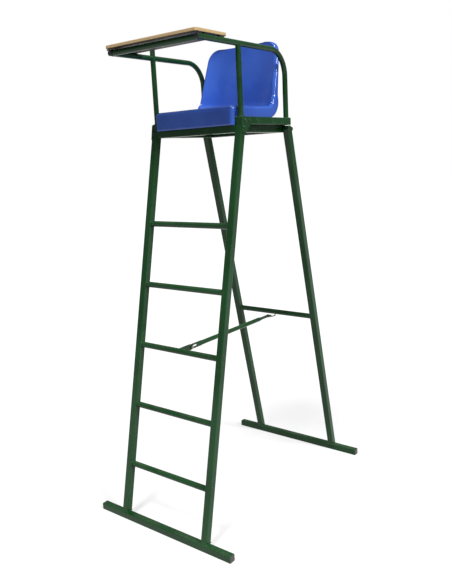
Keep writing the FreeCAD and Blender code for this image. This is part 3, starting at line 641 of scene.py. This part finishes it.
def plugPart(end, y, side):
    # a push-in plug's flange: rounded squares drawn in as they run out, over a shallow pillow face
    rows = []
    for inset, out in plugSizes["steps"]:
        half = stance["tubeHalf"] - inset
        corner = max(plugSizes["smallestCorner"], plugSizes["corner"] - inset)
        outline = roundedRectangle(half, half, corner, guard=plugSizes["guard"])
        rows.append(np.column_stack([np.full(len(outline), end + side * out), y + outline[:, 0],
                                     stance["tubeHalf"] + outline[:, 1]]))
    return gridPart(np.array(rows))


for word, body, sign in (("front", root, -1), ("rear", rear, 1)):
    low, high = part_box(word + "_base_bar")
    plugs = [plugPart(s * high.x, sign * stance["footSpread"], s) for s in (-1, 1)]
    makePiece(word + "BasePlugs", plugs, plugPlastic, body, [word + "_base_plugs"])


def circleOutline(centre, normal, radius):
    # a circle square to the normal
    normal = unit(normal)
    side = unit(np.cross(normal, [0.21, 0.93, 0.3]))
    turn = np.linspace(0, 2 * np.pi, 48, endpoint=False)[:, None]
    return np.asarray(centre) + radius * (np.cos(turn) * side + np.sin(turn) * np.cross(normal, side))


def saddleOutline(centre, axis, radius, tubeAxis, tubeRadius):
    # where a round tube meets the side of another: a circle about the axis, each point moved along
    # the axis by the square root of tube radius squared less its sideways distance squared, with
    # that distance a little short so that equal tubes meet smoothly
    axis, tubeAxis = unit(axis), unit(tubeAxis)
    sideways = np.cross(axis, tubeAxis)
    turn = np.linspace(0, 2 * np.pi, 64, endpoint=False)[:, None]
    drop = np.sqrt(np.maximum(0, tubeRadius ** 2 - (radius * 0.97 * np.cos(turn)) ** 2))
    return np.asarray(centre) + radius * (np.cos(turn) * sideways + np.sin(turn) * tubeAxis) + drop * axis


def squareOutline(centre, u, v, halfU, halfV):
    # a rounded square spanned by two directions
    outline = roundedRectangle(halfU, halfV, stance["tubeCorner"])
    return np.asarray(centre) + np.outer(outline[:, 0], u) + np.outer(outline[:, 1], v)


def ringBead(centre, normal, tubeRadius, radius, seed):
    # a bead round the end of a round tube
    return beadPart(circleOutline(centre, normal, tubeRadius + weldSizes["gap"]), normal, radius, seed)


half, sideX = stance["tubeHalf"], np.array([1.0, 0.0, 0.0])
slant = math.cos(math.atan((stance["footSpread"] - stance["topSpread"]) / stance["pivotHeight"]))
ladderBeads, rearBeads = [], []
for s in (-1, 1):
    stileX, inner = s * stance["stileX"], s * (stance["stileX"] - half)
    crossTubes = [(ladderBeads, "rung_%d" % number, number + s) for number in range(1, 6)]
    for beads, node, seed in crossTubes + [(rearBeads, "rear_cross_bar", s)]:
        low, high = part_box(node)
        centre = (inner, (low.y + high.y) / 2, (low.z + high.z) / 2)
        beads.append(ringBead(centre, sideX, stance["barHalf"], weldSizes["radius"], seed))
    for beads, sign in ((ladderBeads, -1), (rearBeads, 1)):
        foot = (stileX, sign * legLine(2 * half), 2 * half)
        outline = squareOutline(foot, sideX, (0, 1, 0), half + weldSizes["proud"],
                                half / slant - weldSizes["shy"])
        beads.append(beadPart(outline, level, weldSizes["radius"], s * 2 + sign))
    for sign in (-1, 1):
        centre = (stileX, sign * (frameY - half), railTop - half)
        outline = squareOutline(centre, sideX, level, half - weldSizes["proud"], half - weldSizes["proud"])
        ladderBeads.append(beadPart(outline, (0, 1, 0), weldSizes["small"], s + sign))
        centre = (stileX, sign * frameY, railTop)
        ladderBeads.append(ringBead(centre, level, stance["armRadius"], weldSizes["small"], s - sign))
    joints = (((stileX, -frameY, armHeight), -level, level),
              ((stileX, armSizes["bar"], armHeight), -s * sideX, sideX))
    for centre, axis, normal in joints:
        outline = saddleOutline(centre, axis, stance["armRadius"], (0, 1, 0), stance["armRadius"])
        ladderBeads.append(beadPart(outline, normal, weldSizes["fine"], s))
makePiece("weldsLadder", ladderBeads, weldPaint, root)
makePiece("weldsRearFrame", rearBeads, weldPaint, rear)
print("welds made")

staySizes = dict(radius=0.010, taper=0.034, flat=0.30, wide=1.10)  # flat and wide: shares of the radius


def stayPart(low, high):
    # a round tube whose ends press flat: sideways half size and height follow a smooth step from
    # the radius to a flat oval, upright at the front and level at the back
    endDistance, endInset = np.array([0, 0, 0.0004]), [0.4, 0.06, 0.02]
    middle = np.linspace(low.y + 0.001, high.y - 0.001, 60)
    y = np.concatenate([low.y + endDistance, middle, high.y - endDistance[::-1]])
    inset = np.concatenate([endInset, np.zeros(len(middle)), endInset[::-1]])
    radius, taper = staySizes["radius"], staySizes["taper"]
    front = np.clip((y - low.y) / taper, 0, 1)
    back = np.clip((high.y - y) / taper, 0, 1)
    front, back = front * front * (3 - 2 * front), back * back * (3 - 2 * back)
    flat, wide = staySizes["flat"], staySizes["wide"]
    halfX = radius * (flat + (1 - flat) * front) * (wide + (1 - wide) * back) * (1 - inset)
    halfZ = radius * (wide + (1 - wide) * front) * (flat + (1 - flat) * back) * (1 - inset)
    turn = np.arange(36) * 2 * np.pi / 36
    z = (low.z + high.z) / 2
    points = np.stack(np.broadcast_arrays(halfX[:, None] * np.cos(turn), y[:, None],
                                          z + halfZ[:, None] * np.sin(turn)), -1)
    return gridPart(points)


makePiece("stayTube", [stayPart(*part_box("stay_tube"))], paint, stay, ["stay_tube"])

boltSizes = dict(
    radius=0.0066, height=0.0045, skirt=0.0012,
    railPlaces=(-0.163, -0.131), railHeight=1.680,  # two through the side rail
    stileHeights=(1.655, 1.640),                    # two through the stile, on its centreline
)
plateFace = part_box("corner_gussets")[1].x
boltPlaces = [(y, boltSizes["railHeight"]) for y in boltSizes["railPlaces"]]
boltPlaces += [(-legLine(z), z) for z in boltSizes["stileHeights"]]


def boltHeads(places, face):
    # each head is a dome turned about the X axis, standing on its plate
    profile = domeProfile(boltSizes["radius"], boltSizes["height"], boltSizes["skirt"])
    return [lathePart(profile, (s * face, y, z), (s, 0, 0), 28) for s in (-1, 1) for y, z in places]


makePiece("gussetBolts", boltHeads(boltPlaces, plateFace), paint, root, ["gusset_bolts"])

boardMiddleY = (boardLow.y + boardHigh.y) / 2
halfLength, halfDepth = boardHigh.x, (boardHigh.y - boardLow.y) / 2


def boardOutline(inset):
    # a rounded rectangle drawn in by the inset, moved to the board's middle
    corner = max(boardLook["smallestCorner"], boardLook["corner"] - inset)
    outline = roundedRectangle(halfLength - inset, halfDepth - inset, corner, arcSteps=9, guard=0.002)
    return outline + [0, boardMiddleY]


board = platePart(boardOutline, boardLow.z, boardHigh.z, boardLook["rounding"])
makePiece("board", [board], plywood, "writing_board", ["writing_board"])
print("stay, bolts and board made")

shell = dict(
    thickness=0.004, lipFront=-0.197, lipBottom=1.665, lipRadius=0.018, top=1.740,
    panSlope=math.radians(5.9), panLength=0.250, heelRadius=0.075, recline=math.radians(7.7),
    backLength=0.238, corner=0.048, roll=0.014, lipSide=0.016, skirt=1.6965,
    dishShare=0.66, rollShare=0.20, dishPower=4,  # shares of the half width, and how late the dish rises
    panPlaces=(0.3, 0.6, 1.0),                    # stations down the pan, as shares of its length
    panRims=(0, 0.001, 0.006),                    # the rim over the top of the seat at these
    heelRims=(0.054, 0.048, 0.026, 0.009),        # the rim at mid heel, heel end, mid back and top
    heelEdges=(0.004, 0.022, 0.010, -0.007),      # the skirt's edge at the same four
    widths=(0.206, 0.207, 0.209, 0.212, 0.212, 0.212, 0.211, 0.208, 0.200, 0.187),
    topRows=0.05, mergeGap=0.00002,               # the top stretch with closer rows; points this near join
    edgeBulge=0.4,                                # how far the edge rounds out, as a share of thickness
)


def middleLine(samples=900):
    # the line down the middle of the shell: the heading is the running sum of the curvature of lip,
    # pan, heel and back, smoothed, and the place is the running sum of the heading's cosine and sine
    s = shell
    lipTurn, heelTurn = math.pi / 2 + s["panSlope"], math.pi / 2 - s["recline"] + s["panSlope"]
    lengths = [s["top"] - s["lipRadius"] - s["lipBottom"], lipTurn * s["lipRadius"],
               s["panLength"], heelTurn * s["heelRadius"], s["backLength"]]
    bends = np.array([0, -1 / s["lipRadius"], 0, 1 / s["heelRadius"], 0])
    marks = np.concatenate([[0], np.cumsum(lengths)])
    distance = np.linspace(0, marks[-1], samples)
    stretch = np.clip(np.searchsorted(marks, distance, side="right") - 1, 0, len(bends) - 1)
    curvature = bends[stretch]
    window = np.hanning(31)
    padded = np.pad(curvature, len(window) // 2, mode="edge")
    curvature = np.convolve(padded, window / window.sum(), "valid")
    step = distance[1]

    def runningSum(rate):
        return np.concatenate([[0], np.cumsum((rate[1:] + rate[:-1]) / 2 * step)])

    heading = math.pi / 2 + runningSum(curvature)
    y, z = s["lipFront"] + runningSum(np.cos(heading)), s["lipBottom"] + runningSum(np.sin(heading))
    return marks, distance, y, z, heading


def shellSurface(rows=150, columns=121):
    # the sitting surface: place on the middle line, plus the section's height along the line's
    # normal, plus the section's width along X. The section is a dish rising with a power of its
    # share, a quarter-round rim, and a straight skirt down to the edge. Towards the top the width
    # draws in by the corner radius times one less a quarter circle
    marks, distance, lineY, lineZ, lineHeading = middleLine()
    s = shell
    pan = marks[2] + np.array(s["panPlaces"]) * s["panLength"]
    panZ = np.interp(pan, distance, lineZ)
    middles = [(marks[3] + marks[4]) / 2, marks[4], marks[4] + s["backLength"] / 2, marks[5]]
    stations = np.concatenate([marks[:3], pan, middles])
    rim = np.concatenate([[0, 0, 0], s["top"] + np.array(s["panRims"]) - panZ, s["heelRims"]])
    lipEdges = [-s["lipSide"], -s["lipSide"], s["skirt"] - s["top"]]
    edge = np.concatenate([lipEdges, s["skirt"] - panZ, s["heelEdges"]])
    closer = np.cos(np.linspace(0, math.pi / 2, 41)[1:])
    along = np.concatenate([np.linspace(0, marks[5] - s["topRows"], rows - len(closer)),
                            marks[5] - s["topRows"] * closer])
    window = np.hanning(91)

    def smooth(values):
        dense = np.interp(distance, stations, values)
        spread = np.convolve(np.pad(dense, len(window) // 2, mode="edge"), window / window.sum(), "valid")
        return np.interp(along, distance, spread)

    rim, edge, width = smooth(rim), smooth(edge), smooth(s["widths"])
    below = np.clip((s["corner"] - (marks[5] - along)) / s["corner"], 0, 1)
    width = width - s["corner"] * (1 - np.sqrt(1 - below ** 2))
    y, z, heading = (np.interp(along, distance, line)[:, None] for line in (lineY, lineZ, lineHeading))
    rim, edge, width = rim[:, None], edge[:, None], width[:, None]
    across = np.linspace(-1, 1, columns)[None, :]
    part, side = np.abs(across), np.where(across < 0, -1.0, 1.0)
    flat, roll = width - s["roll"], s["roll"]
    share = np.clip(part / s["dishShare"], 0, 1)
    angle = np.clip((part - s["dishShare"]) / s["rollShare"], 0, 1) * math.pi / 2
    down = np.clip((part - s["dishShare"] - s["rollShare"]) / (1 - s["dishShare"] - s["rollShare"]), 0, 1)
    x = side * (flat * share + roll * np.sin(angle))
    height = rim * share ** s["dishPower"] - roll * (1 - np.cos(angle)) + (edge - rim + roll) * down
    rise = np.where(share < 1, s["dishPower"] * rim * share ** (s["dishPower"] - 1) / flat, 0.0)
    lean = np.where(down > 0, math.pi / 2, np.where(share < 1, -np.arctan(rise), angle))
    top = np.stack(np.broadcast_arrays(x, y - height * np.sin(heading), z + height * np.cos(heading)), -1)
    normal = np.stack(np.broadcast_arrays(side * np.sin(lean), -np.cos(lean) * np.sin(heading),
                                          np.cos(lean) * np.cos(heading)), -1)
    return top, normal


def shellParts():
    # both faces of the shell a thickness apart along the normal, and a half-round lip round the
    # whole edge: the edge point, then three points on a half circle out to the other face
    top, normal = shellSurface()
    sideways, forwards = np.gradient(top, axis=1), np.gradient(top, axis=0)
    under = top - normal * shell["thickness"]
    parts = [gridPart(top, False, False, False), gridPart(under, False, False, False)]
    outwards = ((0, unit(-forwards[0])), (-1, unit(forwards[-1])))
    for row, out in outwards:
        parts.append(lipStrip(top[row], under[row], out))
    for column, out in ((0, unit(-sideways[:, 0])), (-1, unit(sideways[:, -1]))):
        parts.append(lipStrip(top[:, column], under[:, column], out))
    return parts


def lipStrip(upper, lower, out):
    # half a circle from one edge line to the other, bulging outwards; the bulge fades at its ends
    fade = np.sin(np.linspace(0, math.pi, len(upper)))[:, None] ** 0.15
    rows = []
    for t in np.linspace(0, math.pi, 5):
        share = (1 - math.cos(t)) / 2
        bulge = out * fade * math.sin(t) * shell["thickness"] * shell["edgeBulge"]
        rows.append(upper * (1 - share) + lower * share + bulge)
    rows[0], rows[-1] = upper, lower
    return gridPart(np.array(rows), False, False, False)


makePiece("seatShell", shellParts(), shellPlastic, root, ["seat_shell"],
          mergeAt=shell["mergeGap"])
print("seat shell made")

studio = dict(
    floorSize=60.0, floorColour=(0.32, 0.32, 0.32, 1), floorGlow=0.62, ambient=0.27,
    suns=(  # name, the place it shines from, angle across in degrees, strength
        ("keyRight", (4.0, -0.3, 3.3), 18.0, 2.9),
        ("frontTop", (0.5, -2.4, 5.0), 12.0, 2.3),
    ),
)


def addFloor():
    # a wide square at the floor's height
    mesh = bpy.data.meshes.new("floor")
    r = studio["floorSize"] / 2
    mesh.from_pydata([(-r, -r, 0), (r, -r, 0), (r, r, 0), (-r, r, 0)], [], [(0, 1, 2, 3)])
    floor = bpy.data.objects.new("floor", mesh)
    bpy.context.scene.collection.objects.link(floor)
    material, tree, shader = newMaterial("floor", 0.9)
    shader.inputs["Base Color"].default_value = studio["floorColour"]
    # near white to the camera and in reflections, while the chair is lit by a darker floor
    path = tree.nodes.new("ShaderNodeLightPath").outputs
    seen = mathNode(tree, "MAXIMUM", path["Is Camera Ray"], path["Is Glossy Ray"])
    glow = mathNode(tree, "MULTIPLY", seen, studio["floorGlow"])
    tree.links.new(glow, shader.inputs["Emission Strength"])
    shader.inputs["Emission Color"].default_value = (1, 1, 1, 1)
    mesh.materials.append(material)


def addWorld():
    # white to the camera, and a plain softer level to everything else
    world = bpy.data.worlds.new("studio")
    bpy.context.scene.world = world
    world.use_nodes = True
    tree = world.node_tree
    tree.nodes.clear()
    seen = addNode(tree, "ShaderNodeBackground", None, Color=(1, 1, 1, 1), Strength=1.0)
    felt = addNode(tree, "ShaderNodeBackground", None, Color=(1, 1, 1, 1), Strength=studio["ambient"])
    ray = tree.nodes.new("ShaderNodeLightPath").outputs["Is Camera Ray"]
    mixed = addNode(tree, "ShaderNodeMixShader", None, n0=ray, n1=felt.outputs[0], n2=seen.outputs[0])
    addNode(tree, "ShaderNodeOutputWorld", None, n0=mixed.outputs[0])


def addLamps():
    # each sun shines from its place towards the origin
    for name, place, angle, strength in studio["suns"]:
        light = bpy.data.lights.new(name, "SUN")
        light.angle, light.energy = math.radians(angle), strength
        lamp = bpy.data.objects.new(name, light)
        lamp.location = place
        lamp.rotation_euler = (-Vector(place)).to_track_quat("-Z", "Y").to_euler()
        bpy.context.scene.collection.objects.link(lamp)


lens = dict(
    place=(1.7375, -2.2496, 1.5448), yaw=38.0262, pitch=-12.0451, roll=-2.8575,  # metres and degrees
    length=39.10, sensor=36.0, furthest=200.0,
)


def addCamera():
    # looks along yaw and pitch, then rolls about its own line of sight
    yaw, pitch, roll = (math.radians(lens[k]) for k in ("yaw", "pitch", "roll"))
    ahead = Vector((-math.sin(yaw) * math.cos(pitch), math.cos(yaw) * math.cos(pitch), math.sin(pitch)))
    right = ahead.cross(Vector((0, 0, 1))).normalized()
    up = right.cross(ahead)
    rolledRight = math.cos(roll) * right + math.sin(roll) * up
    rolledUp = -math.sin(roll) * right + math.cos(roll) * up
    data = bpy.data.cameras.new("camera")
    data.sensor_fit, data.sensor_height, data.lens = "VERTICAL", lens["sensor"], lens["length"]
    data.clip_end = lens["furthest"]
    camera = bpy.data.objects.new("camera", data)
    camera.matrix_world = Matrix.Translation(lens["place"]) @ Matrix(
        (rolledRight, rolledUp, -ahead)).transposed().to_4x4()
    bpy.context.scene.collection.objects.link(camera)
    bpy.context.scene.camera = camera


addFloor()
addWorld()
addLamps()
addCamera()
bpy.context.scene.view_settings.view_transform = "Standard"
print("stage set")
